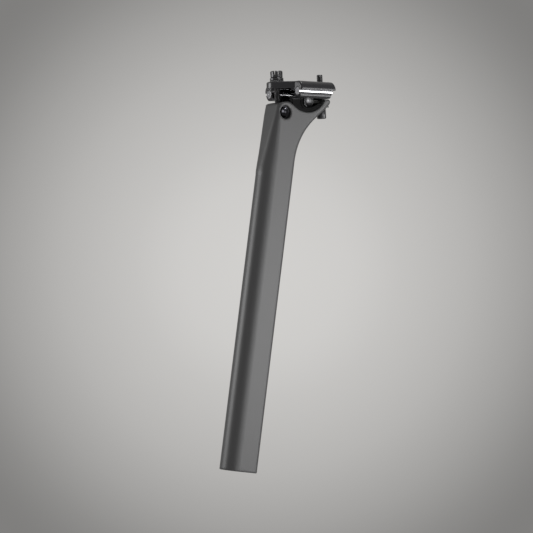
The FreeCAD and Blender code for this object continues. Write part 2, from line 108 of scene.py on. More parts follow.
# The rear bolt's rounded edges: steps along it and in from its side, as shares of the rim
HEAD_RIM = 0.35 * MM
FOOT_EDGE = ((0.0, 2.0), (1.0, 0.6), (2.0, 0.0))
CROWN_EDGE = ((-2.0, 0.0), (-1.0, 0.6), (0.0, 1.4))

# The rear bolt's socket: radius of its mouth and of the drilled point in its floor
SOCKET_MOUTH = 2.95 * MM
DRILL_RADIUS = 1.9 * MM
DRILL_DEPTH = 0.9 * MM
DRILL_TIP = 0.1 * MM

# Where the rear bolt's head meets its shank, and where the shank meets the thread
SHANK_FILLET = 0.2 * MM
THREAD_RUNOUT = 0.3 * MM
CLEAR_OF_SHANK = 0.3 * MM

# Points of a bolt's skin that lie this near are one; faces this thin are dropped
MERGE_WITHIN = 0.000002
FLAT_WITHIN = 0.000001
SHARP_DEGREES = 32

# The cradle's plate ends this far below the rods' middle, and its belly begins; painted shade darkens
# the belly below it, faded in over the second length
PLATE_DEPTH = 6.0 * MM
BELLY_SHADE_BLEND = 0.2 * MM

# Looks that no setting changes
LEAST_ROUGHNESS = 0.02
DUST_COLOUR = (0.36, 0.34, 0.31)
# Near black of the painted shade on the cradle's belly, down in the trough under the ears
BELLY_PAINTED_SHADE = (0.005, 0.005, 0.005)
SAWN_GREY = (0.1, 0.1, 0.105)

# Mottling: size, how it is drawn out, and its change of colour, of gloss and of height
Grain = namedtuple("Grain", "scale stretch tint unevenness bump_depth")

# Rubbed edges: the bared colour, how wide they are and how far they are rubbed
Rub = namedtuple("Rub", "colour width amount")


def length(name, description, default, low, high):
    """A length that a user may change."""
    return bpy.props.FloatProperty(
        name=name,
        description=description,
        default=default,
        min=low,
        max=high,
        precision=5,
        subtype="DISTANCE",
        unit="LENGTH",
    )


def share(name, description, default, high=1.0):
    """A number from nothing to a given most."""
    return bpy.props.FloatProperty(
        name=name, description=description, default=default, min=0.0, max=high, subtype="FACTOR"
    )


def colour(name, description, default):
    """A surface colour that a user may change."""
    return bpy.props.FloatVectorProperty(
        name=name,
        description=description,
        default=default,
        size=3,
        min=0.0,
        max=1.0,
        subtype="COLOR",
    )


class SeatpostFinishes(bpy.types.PropertyGroup):
    """Colours and gloss of the seatpost's materials."""

    carbon_colour: colour("Carbon", "Satin carbon of the post", (0.035, 0.035, 0.036))
    carbon_roughness: share("Carbon roughness", "How dull the post's lacquer is", 0.42)
    clamp_colour: colour("Clamp", "Black anodised clamp halves", (0.016, 0.016, 0.018))
    clamp_roughness: share("Clamp roughness", "How dull the anodised clamp is", 0.24)
    rod_colour: colour("Saddle rods", "Polished steel of the rods", (0.62, 0.62, 0.64))
    rod_roughness: share("Rod roughness", "How dull the polished rods are", 0.12)
    barrel_colour: colour("Barrel nut", "Black plated barrel nut", (0.024, 0.024, 0.027))
    pin_colour: colour("Cross pin", "Satin grey of the cradle's cross pin", (0.11, 0.11, 0.113))
    barrel_roughness: share("Barrel roughness", "How dull the black barrel nut is", 0.1)
    pin_roughness: share("Pin roughness", "How dull the cross pin is", 0.36)
    bolt_colour: colour("Bolts", "Black oxide on the bolts and washers", (0.03, 0.03, 0.032))
    bolt_roughness: share("Bolt roughness", "How dull the bolts are", 0.24)
    edge_rub: share("Rubbed edges", "How far edges are rubbed bright", 0.35)
    dust: share("Dust", "How much fine dust lies on upward faces", 0.08)


class SeatpostThreads(bpy.types.PropertyGroup):
    """Sizes of the two bolts' threads and of the rear bolt's head."""

    pitch: length("Pitch", "Rise of one turn of thread", 0.001, 0.0005, 0.003)
    depth: length("Thread depth", "Depth of the thread", 0.00042, 0.0001, 0.0015)
    plain_length: length("Plain shank", "Plain shank above the rear bolt's head", 0.005, 0.0, 0.02)
    key_size: length("Key size", "Hexagon socket across its flats", 0.005, 0.002, 0.0051)
    key_depth: length("Key depth", "Depth of the hexagon socket", 0.0042, 0.001, 0.008)


class SeatpostStudio(bpy.types.PropertyGroup):
    """The pale backdrop and the soft lamps."""

    backdrop_colour: colour("Backdrop", "Middle of the pale backdrop", (0.645, 0.635, 0.62))
    room_light: share("Room light", "Brightness of the soft light from all round", 0.3, 2.0)
    side_lamp: share("Side lamp", "Brightness of the wide lamp to the right", 7.9, 20.0)
    fill_lamp: share("Fill lamp", "Brightness of the wide lamp beside the camera", 3.4, 20.0)
    rim_lamp: share("Rim lamp", "Brightness of the wide lamp at the back left", 7.0, 20.0)
    low_lamp: share("Low lamp", "Brightness of the small lamp low in front", 60.0, 90.0)
    top_lamp: share("Top lamp", "Brightness of the lamp overhead", 8.0, 20.0)
    floor_drop: length("Floor drop", "How far below the post's end the floor lies", 0.22, 0.0, 2.0)
    floor_radius: length("Floor radius", "Radius of the floor, which fades at its rim", 0.95, 0.2, 5.0)


# ---------------------------------------------------------------- shader groups


def add_node(tree, kind, inputs=None, **settings):
    """Adds a shader node, with its settings and the values of its unlinked inputs."""
    made = tree.nodes.new(kind)
    for name, value in settings.items():
        setattr(made, name, value)
    for name, value in (inputs or {}).items():
        made.inputs[name].default_value = value
    return made


def new_group(name, inputs, outputs):
    """An empty shader group with named sockets, and its two end nodes."""
    tree = bpy.data.node_groups.new(name, "ShaderNodeTree")
    for label, default in inputs.items():
        kind = "NodeSocketVector" if isinstance(default, tuple) else "NodeSocketFloat"
        socket = tree.interface.new_socket(name=label, in_out="INPUT", socket_type=kind)
        socket.default_value = default
    for label in outputs:
        kind = "NodeSocketVector" if label == "Normal" else "NodeSocketFloat"
        tree.interface.new_socket(name=label, in_out="OUTPUT", socket_type=kind)
    return tree, tree.nodes.new("NodeGroupInput"), tree.nodes.new("NodeGroupOutput")


def grain_group():
    """Fine mottling that can be drawn out along one direction."""
    found = bpy.data.node_groups.get("seatpost_grain")
    if found:
        return found
    tree, start, end = new_group(
        "seatpost_grain",
        {"Scale": 800.0, "Stretch": (1.0, 1.0, 1.0), "Contrast": 1.0},
        ("Grain",),
    )
    link = tree.links.new
    place = add_node(tree, "ShaderNodeTexCoord")
    stretched = add_node(tree, "ShaderNodeVectorMath", operation="MULTIPLY")
    noise = add_node(tree, "ShaderNodeTexNoise", {"Detail": 3.0, "Roughness": 0.6})
    centred = add_node(tree, "ShaderNodeMath", {1: 0.5}, operation="SUBTRACT")
    scaled = add_node(tree, "ShaderNodeMath", operation="MULTIPLY")
    lifted = add_node(tree, "ShaderNodeMath", {1: 0.5}, operation="ADD", use_clamp=True)
    link(place.outputs["Object"], stretched.inputs[0])
    link(start.outputs["Stretch"], stretched.inputs[1])
    link(stretched.outputs[0], noise.inputs["Vector"])
    link(start.outputs["Scale"], noise.inputs["Scale"])
    link(noise.outputs["Fac"], centred.inputs[0])
    link(centred.outputs[0], scaled.inputs[0])
    link(start.outputs["Contrast"], scaled.inputs[1])
    link(scaled.outputs[0], lifted.inputs[0])
    link(lifted.outputs[0], end.inputs["Grain"])
    return tree


def rub_group():
    """A mask of the outer edges, broken up as handling wears them."""
    found = bpy.data.node_groups.get("seatpost_edge_rub")
    if found:
        return found
    tree, start, end = new_group(
        "seatpost_edge_rub", {"Width": 0.0004, "Amount": 0.4, "Break Up": 600.0}, ("Mask",)
    )
    link = tree.links.new
    rounded = add_node(tree, "ShaderNodeBevel", samples=4)
    surface = add_node(tree, "ShaderNodeNewGeometry")
    alike = add_node(tree, "ShaderNodeVectorMath", operation="DOT_PRODUCT")
    turned = add_node(
        tree, "ShaderNodeMapRange", {"From Min": 0.995, "From Max": 0.86, "To Min": 0.0, "To Max": 1.0}
    )
    place = add_node(tree, "ShaderNodeTexCoord")
    noise = add_node(tree, "ShaderNodeTexNoise", {"Detail": 4.0})
    patchy = add_node(tree, "ShaderNodeMapRange", {"From Min": 0.36, "From Max": 0.62})
    broken = add_node(tree, "ShaderNodeMath", operation="MULTIPLY")
    mask = add_node(tree, "ShaderNodeMath", operation="MULTIPLY", use_clamp=True)
    link(start.outputs["Width"], rounded.inputs["Radius"])
    link(rounded.outputs["Normal"], alike.inputs[0])
    link(surface.outputs["Normal"], alike.inputs[1])
    link(alike.outputs["Value"], turned.inputs["Value"])
    link(place.outputs["Object"], noise.inputs["Vector"])
    link(start.outputs["Break Up"], noise.inputs["Scale"])
    link(noise.outputs["Fac"], patchy.inputs["Value"])
    link(turned.outputs[0], broken.inputs[0])
    link(patchy.outputs[0], broken.inputs[1])
    link(broken.outputs[0], mask.inputs[0])
    link(start.outputs["Amount"], mask.inputs[1])
    link(mask.outputs[0], end.inputs["Mask"])
    return tree


def soft_edge_group():
    """Normals that run round every edge, as if the edge were broken with a small radius."""
    found = bpy.data.node_groups.get("seatpost_soft_edge")
    if found:
        return found
    tree, start, end = new_group("seatpost_soft_edge", {"Radius": 0.0005}, ("Normal",))
    rounded = add_node(tree, "ShaderNodeBevel", samples=8)
    tree.links.new(start.outputs["Radius"], rounded.inputs["Radius"])
    tree.links.new(rounded.outputs["Normal"], end.inputs["Normal"])
    return tree


def dust_group():
    """A mask of faces that look up, where fine dust settles in patches."""
    found = bpy.data.node_groups.get("seatpost_dust")
    if found:
        return found
    tree, start, end = new_group("seatpost_dust", {"Amount": 0.1, "Patch Scale": 90.0}, ("Mask",))
    link = tree.links.new
    place = add_node(tree, "ShaderNodeTexCoord")
    parts = add_node(tree, "ShaderNodeSeparateXYZ")
    upward = add_node(tree, "ShaderNodeMapRange", {"From Min": 0.35, "From Max": 1.0})
    noise = add_node(tree, "ShaderNodeTexNoise", {"Detail": 6.0, "Roughness": 0.7})
    patchy = add_node(tree, "ShaderNodeMapRange", {"From Min": 0.35, "From Max": 0.7})
    settled = add_node(tree, "ShaderNodeMath", operation="MULTIPLY")
    mask = add_node(tree, "ShaderNodeMath", operation="MULTIPLY", use_clamp=True)
    link(place.outputs["Normal"], parts.inputs[0])
    link(parts.outputs["Z"], upward.inputs["Value"])
    link(place.outputs["Object"], noise.inputs["Vector"])
    link(start.outputs["Patch Scale"], noise.inputs["Scale"])
    link(noise.outputs["Fac"], patchy.inputs["Value"])
    link(upward.outputs[0], settled.inputs[0])
    link(patchy.outputs[0], settled.inputs[1])
    link(settled.outputs[0], mask.inputs[0])
    link(start.outputs["Amount"], mask.inputs[1])
    link(mask.outputs[0], end.inputs["Mask"])
    return tree


# ---------------------------------------------------------------- materials


def finish_material(name, base, *, roughness, metallic, grain, rub, dust, edge_radius):
    """A surface with grain in its colour and gloss, broken and rubbed edges and a little dust."""
    made = bpy.data.materials.new(name)
    made.use_nodes = True
    tree = made.node_tree
    link = tree.links.new
    shader = tree.nodes["Principled BSDF"]
    shader.inputs["Metallic"].default_value = metallic

    mottle = add_node(tree, "ShaderNodeGroup", node_tree=grain_group())
    mottle.inputs["Scale"].default_value = grain.scale
    mottle.inputs["Stretch"].default_value = grain.stretch
    edges = add_node(tree, "ShaderNodeGroup", node_tree=rub_group())
    edges.inputs["Width"].default_value = rub.width
    edges.inputs["Amount"].default_value = rub.amount
    settled = add_node(tree, "ShaderNodeGroup", node_tree=dust_group())
    settled.inputs["Amount"].default_value = dust

    dark = [channel * (1.0 - grain.tint) for channel in base]
    light = [min(1.0, channel * (1.0 + grain.tint)) for channel in base]
    body = add_node(tree, "ShaderNodeMix", data_type="RGBA")
    set_colour(body, "A", dark)
    set_colour(body, "B", light)
    rubbed = add_node(tree, "ShaderNodeMix", data_type="RGBA")
    set_colour(rubbed, "B", rub.colour)
    dusty = add_node(tree, "ShaderNodeMix", data_type="RGBA")
    set_colour(dusty, "B", DUST_COLOUR)
    link(mottle.outputs["Grain"], colour_socket(body, "Factor"))
    link(colour_socket(body, "Result"), colour_socket(rubbed, "A"))
    link(edges.outputs["Mask"], colour_socket(rubbed, "Factor"))
    link(colour_socket(rubbed, "Result"), colour_socket(dusty, "A"))
    link(settled.outputs["Mask"], colour_socket(dusty, "Factor"))
    link(colour_socket(dusty, "Result"), shader.inputs["Base Color"])

    gloss = add_node(tree, "ShaderNodeMapRange")
    gloss.inputs["To Min"].default_value = max(LEAST_ROUGHNESS, roughness - grain.unevenness)
    gloss.inputs["To Max"].default_value = roughness + grain.unevenness
    link(mottle.outputs["Grain"], gloss.inputs["Value"])
    link(gloss.outputs[0], shader.inputs["Roughness"])

    bump = add_node(tree, "ShaderNodeBump", {"Strength": 0.5, "Distance": grain.bump_depth})
    soft = add_node(tree, "ShaderNodeGroup", node_tree=soft_edge_group())
    soft.inputs["Radius"].default_value = edge_radius
    link(soft.outputs["Normal"], bump.inputs["Normal"])
    link(mottle.outputs["Grain"], bump.inputs["Height"])
    link(bump.outputs["Normal"], shader.inputs["Normal"])
    return made


def colour_socket(mix, name):
    """The colour (or factor) socket of a Mix node that mixes colours."""
    if name == "Result":
        return next(socket for socket in mix.outputs if socket.type == "RGBA")
    kind = "VALUE" if name == "Factor" else "RGBA"
    return next(socket for socket in mix.inputs if socket.name == name and socket.type == kind)


def set_colour(mix, name, rgb):
    """Writes a plain colour into one side of a Mix node."""
    colour_socket(mix, name).default_value = (*rgb, 1.0)


def dress(material, *names):
    """Gives CAD nodes one material in all their slots."""
    for name in names:
        slots = frame["nodes"][name].data.materials
        slots.clear()
        slots.append(material)


def carbon_material():
    """Satin lacquer over carbon whose fibres run up the post."""
    finishes = bpy.context.scene.seatpost_finishes
    return finish_material(
        "satin_carbon",
        finishes.carbon_colour,
        roughness=finishes.carbon_roughness,
        metallic=0.0,
        grain=Grain(900.0, (1.0, 1.0, 0.06), 0.16, 0.03, 0.02 * MM),
        rub=Rub((0.07, 0.07, 0.07), 0.5 * MM, finishes.edge_rub * 0.4),
        dust=finishes.dust * 0.4,
        edge_radius=2.5 * MM,
    )


def anodised_material(name):
    """Blasted and black anodised aluminium of the clamp."""
    finishes = bpy.context.scene.seatpost_finishes
    return finish_material(
        name,
        finishes.clamp_colour,
        roughness=finishes.clamp_roughness,
        metallic=0.25,
        grain=Grain(2600.0, (1.0, 1.0, 1.0), 0.2, 0.05, 0.02 * MM),
        rub=Rub((0.16, 0.16, 0.17), 0.4 * MM, finishes.edge_rub),
        dust=finishes.dust,
        edge_radius=1.2 * MM,
    )


def cradle_material_with_painted_shade():
    """The clamp's finish, with painted shade: the belly below the plate, down in the trough under the
    ears, is made near black.
    """
    made = anodised_material("black_anodised_cradle_painted_shade")
    upward = Vector((0.0, -1.0, 0.0)).cross(rod_direction())
    rods = sum(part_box("rail_left"), Vector()) / 2
    underside = rods.dot(upward) - PLATE_DEPTH
    # Painted shade: below the plate's underside the belly turns near black and nearly unreflecting, as
    # if shaded by the ears
    belly = below_mask(made, upward, underside, BELLY_SHADE_BLEND)
    overlay_finish(made, belly, BELLY_PAINTED_SHADE, roughness=0.42, metallic=1.0)
    return made


def overlay_finish(material, mask, rgb, *, roughness, metallic):
    """Lays a second finish over a material wherever a mask is 1."""
    tree = material.node_tree
    link = tree.links.new
    shader = tree.nodes["Principled BSDF"]
    tint = add_node(tree, "ShaderNodeMix", data_type="RGBA")
    set_colour(tint, "B", rgb)
    link(shader.inputs["Base Color"].links[0].from_socket, colour_socket(tint, "A"))
    link(mask, colour_socket(tint, "Factor"))
    link(colour_socket(tint, "Result"), shader.inputs["Base Color"])
    for name, value in (("Roughness", roughness), ("Metallic", metallic)):
        blend = add_node(tree, "ShaderNodeMix", data_type="FLOAT", clamp_factor=True)
        factor, under, over = (blend.inputs[i] for i in (0, 2, 3))
        over.default_value = value
        if shader.inputs[name].is_linked:
            link(shader.inputs[name].links[0].from_socket, under)
        else:
            under.default_value = shader.inputs[name].default_value
        link(mask, factor)
        link(blend.outputs[0], shader.inputs[name])


def facing_mask(material, along):
    """1 where a surface faces along a direction or against it."""
    tree = material.node_tree
    place = add_node(tree, "ShaderNodeTexCoord")
    facing = add_node(tree, "ShaderNodeVectorMath", operation="DOT_PRODUCT")
    facing.inputs[1].default_value = along
    either = add_node(tree, "ShaderNodeMath", operation="ABSOLUTE")
    mask = add_node(tree, "ShaderNodeMapRange", {"From Min": 0.8, "From Max": 0.95})
    tree.links.new(place.outputs["Normal"], facing.inputs[0])
    tree.links.new(facing.outputs["Value"], either.inputs[0])
    tree.links.new(either.outputs[0], mask.inputs["Value"])
    return mask.outputs[0]


def below_mask(material, upward, height, blend):
    """1 below a height that is measured along a direction, 0 above it."""
    tree = material.node_tree
    place = add_node(tree, "ShaderNodeTexCoord")
    level = add_node(tree, "ShaderNodeVectorMath", operation="DOT_PRODUCT")
    level.inputs[1].default_value = upward
    mask = add_node(
        tree, "ShaderNodeMapRange", {"From Min": height, "From Max": height - blend}
    )
    tree.links.new(place.outputs["Object"], level.inputs[0])
    tree.links.new(level.outputs["Value"], mask.inputs["Value"])
    return mask.outputs[0]


def rod_direction():
    """The direction of the rods, rearwards, from the near rod's own box."""
    low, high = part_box("rail_left")
    diameter = high.y - low.y
    rise = (high.z - low.z - diameter) / (high.x - low.x - diameter)
    return Vector((1.0, 0.0, rise)).normalized()


def polished_material():
    """Polished steel with fine lines drawn along the rods and duller sawn ends."""
    finishes = bpy.context.scene.seatpost_finishes
    made = finish_material(
        "polished_steel_rod",
        finishes.rod_colour,
        roughness=finishes.rod_roughness,
        metallic=1.0,
        grain=Grain(2400.0, (0.08, 1.0, 1.0), 0.06, 0.03, 0.006 * MM),
        rub=Rub((0.75, 0.75, 0.76), 0.3 * MM, finishes.edge_rub * 0.5),
        dust=finishes.dust * 0.2,
        edge_radius=0.3 * MM,
    )
    sawn = facing_mask(made, rod_direction())
    overlay_finish(made, sawn, SAWN_GREY, roughness=0.4, metallic=1.0)
    return made


def barrel_material(name, base, roughness):
    """Dark plated metal, turned on a lathe, of the barrel nut and the cross pin."""
    finishes = bpy.context.scene.seatpost_finishes
    return finish_material(
        name,
        base,
        roughness=roughness,
        metallic=1.0,
        grain=Grain(1800.0, (1.0, 0.2, 1.0), 0.1, 0.03, 0.008 * MM),
        rub=Rub((0.5, 0.5, 0.5), 0.3 * MM, finishes.edge_rub * 0.6),
        dust=finishes.dust * 0.3,
        edge_radius=0.4 * MM,
    )


def black_steel_material():
    """Black oxide on the bolts, washers and nuts."""
    found = bpy.data.materials.get("black_oxide_steel")
    if found:
        return found
    finishes = bpy.context.scene.seatpost_finishes
    return finish_material(
        "black_oxide_steel",
        finishes.bolt_colour,
        roughness=finishes.bolt_roughness,
        metallic=0.4,
        grain=Grain(2000.0, (1.0, 1.0, 1.0), 0.25, 0.06, 0.01 * MM),
        rub=Rub((0.34, 0.33, 0.32), 0.2 * MM, finishes.edge_rub),
        dust=finishes.dust * 0.5,
        edge_radius=0.3 * MM,
    )


# ---------------------------------------------------------------- bolt meshes


def bolt_line(swivel, travel, node):
    """A bolt's own frame, Z along it, and where its solid begins and ends on that line."""
    origin = Vector(JOINTS[swivel]["pos_m"])
    along = Vector(JOINTS[travel]["axis"]).normalized()
    side = Vector((0.0, 1.0, 0.0))
    across = side.cross(along)
    place = Matrix((across, side, along)).transposed().to_4x4()
    place.translation = origin
    reach = [(vertex.co - origin).dot(along) for vertex in frame["nodes"][node].data.vertices]
    return place, min(reach), max(reach), half_width(node)


def half_width(node):
    """Half of a node's extent across the post, which is a round piece's radius."""
    low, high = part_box(node)
    return (high.y - low.y) / 2


def rear_head_top(place, shank):
    """Height of the rear bolt's head top along its own line, from its solid."""
    inward = place.inverted()
    heights = []
    for vertex in frame["nodes"]["rear_bolt"].data.vertices:
        local = inward @ vertex.co
        if math.hypot(local.x, local.y) > shank + CLEAR_OF_SHANK:
            heights.append(local.z)
    return max(heights)


def turned_ring(z, radius, columns):
    """Points round the bolt's line at one height; radius may change with the angle."""
    ring = []
    for column in range(columns):
        angle = 2 * math.pi * column / columns
        here = radius(angle) if callable(radius) else radius
        ring.append(Vector((here * math.cos(angle), here * math.sin(angle), z)))
    return ring


def skin_rings(mesh, rings):
    """Joins rings of points into a closed skin."""
    laid = [[mesh.verts.new(point) for point in ring] for ring in rings]
    for lower, upper in zip(laid, laid[1:]):
        for i, first in enumerate(lower):
            j = (i + 1) % len(lower)
            mesh.faces.new((first, lower[j], upper[j], upper[i]))
    mesh.faces.new(reversed(laid[0]))
    mesh.faces.new(laid[-1])


def thread_skin(mesh, start, finish, crest, depth, pitch):
    """A true helical thread between two heights, both ends chamfered."""
    columns = THREAD_COLUMNS
    per_turn = len(THREAD_TURN)
    # One turn more at each end, which folds flat against that end's height
    turns = math.ceil((finish - start) / pitch) + 2
    rows = []
    for row in range(turns * per_turn + 1):
        turn, step = divmod(row, per_turn)
        phase, height = THREAD_TURN[step]
        ring = []
        for column in range(columns):
            angle = 2 * math.pi * column / columns
            z = start + pitch * (turn - 1 + phase + column / columns)
            z = min(max(z, start), finish)
            ease = min(z - start, finish - z)
            radius = min(crest - depth * (1.0 - height), crest - THREAD_CHAMFER * depth + ease)
            ring.append(
                mesh.verts.new((radius * math.cos(angle), radius * math.sin(angle), z))
            )
        rows.append(ring)
    for row in range(len(rows) - 1):
        for column in range(columns):
            if column + 1 < columns:
                right, upper_right = rows[row][column + 1], rows[row + 1][column + 1]
            elif row + 1 + per_turn < len(rows):
                right, upper_right = rows[row + per_turn][0], rows[row + 1 + per_turn][0]
            else:
                continue
            mesh.faces.new((rows[row][column], right, upper_right, rows[row + 1][column]))


def close_ends(mesh):
    """Merges what the clipped thread folded up, and caps the open ends."""
    bmesh.ops.remove_doubles(mesh, verts=mesh.verts, dist=MERGE_WITHIN)
    bmesh.ops.dissolve_degenerate(mesh, edges=mesh.edges, dist=FLAT_WITHIN)
    loose = [vertex for vertex in mesh.verts if not vertex.link_faces]
    bmesh.ops.delete(mesh, geom=loose, context="VERTS")
    rim = [edge for edge in mesh.edges if edge.is_boundary]
    bmesh.ops.holes_fill(mesh, edges=rim, sides=0)
    bmesh.ops.recalc_face_normals(mesh, faces=mesh.faces)


def bolt_object(name, mesh, place, material):
    """Turns a mesh under construction into a smooth-shaded piece in the part's frame."""
    data = bpy.data.meshes.new(name)
    mesh.to_mesh(data)
    mesh.free()
    data.transform(place)
    data.materials.append(material)
    data.shade_smooth()
    data.set_sharp_from_angle(angle=math.radians(SHARP_DEGREES))
    piece = bpy.data.objects.new(name, data)
    bpy.context.scene.collection.objects.link(piece)
    return piece


def hexagon(flats):
    """The radius, for each angle, of a hexagon with that distance across its flats."""
    half_side = math.pi / 6

    def at(angle):
        return flats / 2 / math.cos((angle + half_side) % (2 * half_side) - half_side)

    return at


# ---------------------------------------------------------------- operators


class SEATPOST_OT_finish_post(bpy.types.Operator):
    """Gives the post its satin carbon"""

    bl_idname = "seatpost.finish_post"
    bl_label = "Finish the post"

    def execute(self, context):
        dress(carbon_material(), "post_body")
        return {"FINISHED"}


class SEATPOST_OT_finish_clamp(bpy.types.Operator):
    """Gives the clamp halves their black anodised finish, with painted shade on the cradle's belly"""

    bl_idname = "seatpost.finish_clamp"
    bl_label = "Finish the clamp"

    def execute(self, context):
        dress(anodised_material("black_anodised"), "upper_clamp")
        dress(cradle_material_with_painted_shade(), "lower_cradle")
        return {"FINISHED"}


class SEATPOST_OT_finish_rods(bpy.types.Operator):
    """Polishes the two rods that stand in for saddle rails"""

    bl_idname = "seatpost.finish_rods"
    bl_label = "Polish the rods"

    def execute(self, context):
        dress(polished_material(), "rail_left", "rail_right")
        return {"FINISHED"}


class SEATPOST_OT_finish_barrels(bpy.types.Operator):
    """Plates the barrel across the head and the one across the cradle"""

    bl_idname = "seatpost.finish_barrels"
    bl_label = "Plate the barrels"

    def execute(self, context):
        finishes = context.scene.seatpost_finishes
        barrel = barrel_material("black_barrel", finishes.barrel_colour, finishes.barrel_roughness)
        pin = barrel_material("satin_grey_pin", finishes.pin_colour, finishes.pin_roughness)
        dress(barrel, "front_barrel_nut")
        dress(pin, "cradle_cross_pin")
        return {"FINISHED"}


class SEATPOST_OT_finish_fasteners(bpy.types.Operator):
    """Blackens the washers, the half-round pieces and both nuts"""

    bl_idname = "seatpost.finish_fasteners"
    bl_label = "Blacken the fasteners"

    def execute(self, context):
        dress(
            black_steel_material(),
            "front_washer",
            "front_adjuster_nut",
            "front_half_round_seat",
            "rear_washer",
            "rear_half_moon_washer",
            "rear_nut",
        )
        return {"FINISHED"}


class SEATPOST_OT_cut_front_stud(bpy.types.Operator):
    """Makes the front stud with a true thread along its whole length"""

    bl_idname = "seatpost.cut_front_stud"
    bl_label = "Cut the front stud"

    def execute(self, context):
        threads = context.scene.seatpost_threads
        place, low, high, radius = bolt_line(
            "front_barrel_swivel", "front_bolt_travel", "front_bolt"
        )
        mesh = bmesh.new()
        thread_skin(mesh, low, high, radius, threads.depth, threads.pitch)
        close_ends(mesh)
        stud = bolt_object("front_threaded_stud", mesh, place, black_steel_material())
        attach(stud, "front_stud")
        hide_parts("front_bolt")
        return {"FINISHED"}


class SEATPOST_OT_cut_rear_screw(bpy.types.Operator):
    """Makes the rear socket-head bolt with its head, plain shank and thread"""

    bl_idname = "seatpost.cut_rear_screw"
    bl_label = "Cut the rear screw"

    def execute(self, context):
        threads = context.scene.seatpost_threads
        place, low, high, head_radius = bolt_line(
            "rear_bolt_swivel", "rear_nut_travel", "rear_bolt"
        )
        shank = half_width("front_bolt")
        head_top = rear_head_top(place, shank)
        plain_top = head_top + threads.plain_length
        socket = hexagon(threads.key_size)
        key_floor = low + threads.key_depth
        outline = (
            (key_floor + DRILL_DEPTH, DRILL_TIP),
            (key_floor, DRILL_RADIUS),
            (key_floor, socket),
            (low + HEAD_RIM, socket),
            (low, SOCKET_MOUTH),
            *((low + up * HEAD_RIM, head_radius - inset * HEAD_RIM) for up, inset in FOOT_EDGE),
            *((head_top + up * HEAD_RIM, head_radius - inset * HEAD_RIM) for up, inset in CROWN_EDGE),
            (head_top, shank + SHANK_FILLET),
            (head_top + SHANK_FILLET, shank),
            (plain_top, shank),
            (plain_top + THREAD_RUNOUT, shank - threads.depth),
        )
        mesh = bmesh.new()
        skin_rings(mesh, [turned_ring(z, radius, HEAD_COLUMNS) for z, radius in outline])
        thread_skin(mesh, plain_top, high, shank, threads.depth, threads.pitch)
        close_ends(mesh)
        screw = bolt_object("rear_socket_screw", mesh, place, black_steel_material())
        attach(screw, "rear_screw")
        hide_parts("rear_bolt")
        return {"FINISHED"}


class SEATPOST_OT_set_studio(bpy.types.Operator):
    """Sets the pale backdrop, the floor, the lamps and the camera"""

    bl_idname = "seatpost.set_studio"
    bl_label = "Set the studio"

    def execute(self, context):
        studio = context.scene.seatpost_studio
        set_backdrop(studio)
        lay_floor(studio)
        place_lamps(studio)
        place_camera()
        context.scene.view_settings.view_transform = "Standard"
        return {"FINISHED"}


# ---------------------------------------------------------------- studio


def seen_directly(tree):
    """1 for rays from the camera and for rays off gloss or through glass."""
    path = add_node(tree, "ShaderNodeLightPath")
    some = add_node(tree, "ShaderNodeMath", operation="MAXIMUM")
    all_three = add_node(tree, "ShaderNodeMath", operation="MAXIMUM")
    tree.links.new(path.outputs["Is Camera Ray"], some.inputs[0])
    tree.links.new(path.outputs["Is Glossy Ray"], some.inputs[1])
    tree.links.new(some.outputs[0], all_three.inputs[0])
    tree.links.new(path.outputs["Is Transmission Ray"], all_three.inputs[1])
    return all_three.outputs[0]


def set_backdrop(studio):
    """A seamless pale backdrop, brightest behind the post, and soft light all round."""
    world = bpy.data.worlds.new("pale_backdrop")
    world.use_nodes = True
    bpy.context.scene.world = world
    tree = world.node_tree
    tree.nodes.clear()
    link = tree.links.new
    middle = (CAMERA_TARGET - CAMERA_PLACE).normalized()
    direction = add_node(tree, "ShaderNodeTexCoord")
    facing = add_node(tree, "ShaderNodeVectorMath", operation="DOT_PRODUCT")
    facing.inputs[1].default_value = middle
    angle = add_node(tree, "ShaderNodeMath", operation="ARCCOSINE")
    widest = BACKDROP_FADE[-1][0]
    to_share = add_node(
        tree, "ShaderNodeMath", {1: 1.0 / math.radians(widest)}, operation="MULTIPLY"
    )
    fade = add_node(tree, "ShaderNodeValToRGB")
    fade.color_ramp.interpolation = "B_SPLINE"
    stops = fade.color_ramp.elements
    while len(stops) < len(BACKDROP_FADE):
        stops.new(1.0)
    for stop, (degrees, brightness) in zip(stops, BACKDROP_FADE):
        stop.position = degrees / widest
        stop.color = (*(channel * brightness for channel in studio.backdrop_colour), 1.0)
    backdrop = add_node(tree, "ShaderNodeBackground")
    room = add_node(tree, "ShaderNodeBackground", {"Color": (1.0, 1.0, 1.0, 1.0)})
    room.inputs["Strength"].default_value = studio.room_light
    either = add_node(tree, "ShaderNodeMixShader")
    output = add_node(tree, "ShaderNodeOutputWorld")
    link(direction.outputs["Generated"], facing.inputs[0])
    link(facing.outputs["Value"], angle.inputs[0])
    link(angle.outputs[0], to_share.inputs[0])
    link(to_share.outputs[0], fade.inputs["Fac"])
    link(fade.outputs["Color"], backdrop.inputs["Color"])
    link(seen_directly(tree), either.inputs[0])
    link(room.outputs[0], either.inputs[1])
    link(backdrop.outputs[0], either.inputs[2])
    link(either.outputs[0], output.inputs["Surface"])


